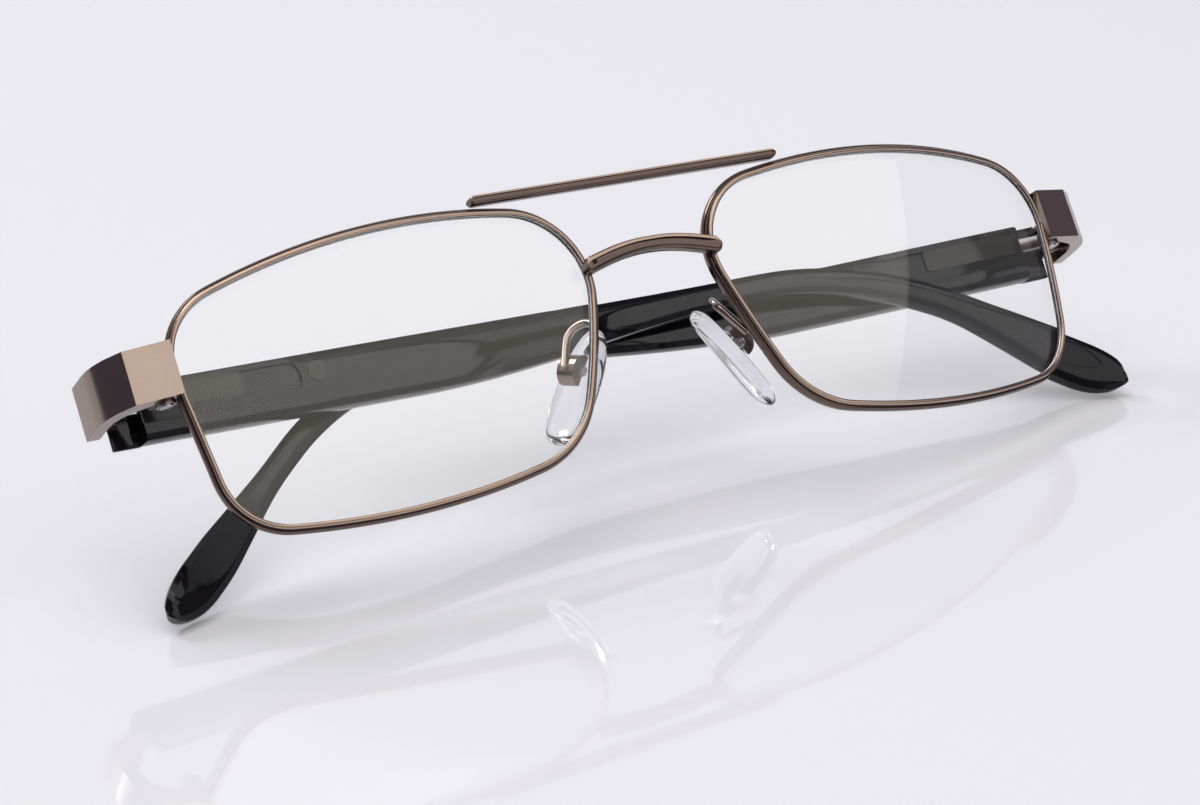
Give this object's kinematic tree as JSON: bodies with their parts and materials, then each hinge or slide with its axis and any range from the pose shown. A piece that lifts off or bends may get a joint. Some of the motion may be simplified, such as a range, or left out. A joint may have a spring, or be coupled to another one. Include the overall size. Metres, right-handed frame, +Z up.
{
  "type": "reading glasses",
  "caption": "Metal reading glasses with full rims and a double bridge, black spring-hinged temples folded behind the lenses.",
  "frame": {"origin": "centre of the bounding box's underside, on the table that the folded glasses rest on", "axes": "+X along the front's width to the viewer's right, +Y from the lenses' front towards the folded temples, +Z up"},
  "size_m": [0.136, 0.0328, 0.0389],
  "materials": {
    "rim_metal": "shiny tan-bronze plating",
    "hinge_metal": "satin",
    "screw_steel": "satin",
    "arm_metal": "bright",
    "box_metal": "satin gunmetal",
    "lens": "clear, polished",
    "temple_black": "glossy",
    "housing_black": "glossy",
    "pad_clear": "clear soft pad"
  },
  "bodies": {
    "front": {"rim_right": "rim_metal", "rim_left": "rim_metal", "lens_right": "lens", "lens_left": "lens", "top_bar": "rim_metal", "bridge": "rim_metal", "end_piece_right": "rim_metal", "end_piece_left": "rim_metal", "front_hinge_right": "hinge_metal", "front_hinge_left": "hinge_metal", "lock_upper_right": "hinge_metal", "lock_upper_left": "hinge_metal", "lock_lower_right": "hinge_metal", "lock_lower_left": "hinge_metal", "rim_screw_right": "screw_steel", "rim_screw_left": "screw_steel", "hinge_screw_right": "screw_steel", "hinge_screw_left": "screw_steel", "pad_arm_right": "arm_metal", "pad_arm_left": "arm_metal", "pad_box_right": "box_metal", "pad_box_left": "box_metal", "pad_screw_right": "screw_steel", "pad_screw_left": "screw_steel"},
    "spring_slide_left_body": {"spring_slide_left": "hinge_metal", "slide_nut_left": "screw_steel"},
    "temple_left_body": {"temple_left": "temple_black", "spring_housing_left": "housing_black", "hinge_spring_left": "screw_steel"},
    "nose_pad_left_body": {"nose_pad_left": "pad_clear"},
    "spring_slide_right_body": {"spring_slide_right": "hinge_metal", "slide_nut_right": "screw_steel"},
    "temple_right_body": {"temple_right": "temple_black", "spring_housing_right": "housing_black", "hinge_spring_right": "screw_steel"},
    "nose_pad_right_body": {"nose_pad_right": "pad_clear"}
  },
  "joints": [
    {"name": "fold_left", "type": "hinge", "parent": "front", "child": "spring_slide_left_body", "pos_m": [-0.06498, 0.00736, 0.02084], "axis": [0.0394, 0.5914, 0.8054], "range_deg": [0, 98]},
    {"name": "fold_right", "type": "hinge", "parent": "front", "child": "spring_slide_right_body", "pos_m": [0.06486, 0.00736, 0.01449], "axis": [-0.0394, -0.5914, -0.8054], "range_deg": [0, 92.3]},
    {"name": "flex_left", "type": "slide", "parent": "spring_slide_left_body", "child": "temple_left_body", "axis": [0.9985, 0.007, -0.054], "range_m": [0, 0.001], "stiffness_N_per_m": 400, "springref_m": -0.001},
    {"name": "flex_right", "type": "slide", "parent": "spring_slide_right_body", "child": "temple_right_body", "axis": [-0.9961, 0.0871, -0.0152], "range_m": [0, 0.001], "stiffness_N_per_m": 400, "springref_m": -0.001},
    {"name": "pad_rock_left", "type": "hinge", "parent": "front", "child": "nose_pad_left_body", "pos_m": [-0.0116, -0.00458, 0.01761], "axis": [-0.3006, 0.9337, -0.1943], "range_deg": [-7, 7]},
    {"name": "pad_rock_right", "type": "hinge", "parent": "front", "child": "nose_pad_right_body", "pos_m": [0.01142, -0.00458, 0.01649], "axis": [0.2802, 0.9337, -0.2227], "range_deg": [-7, 7]}
  ]
}
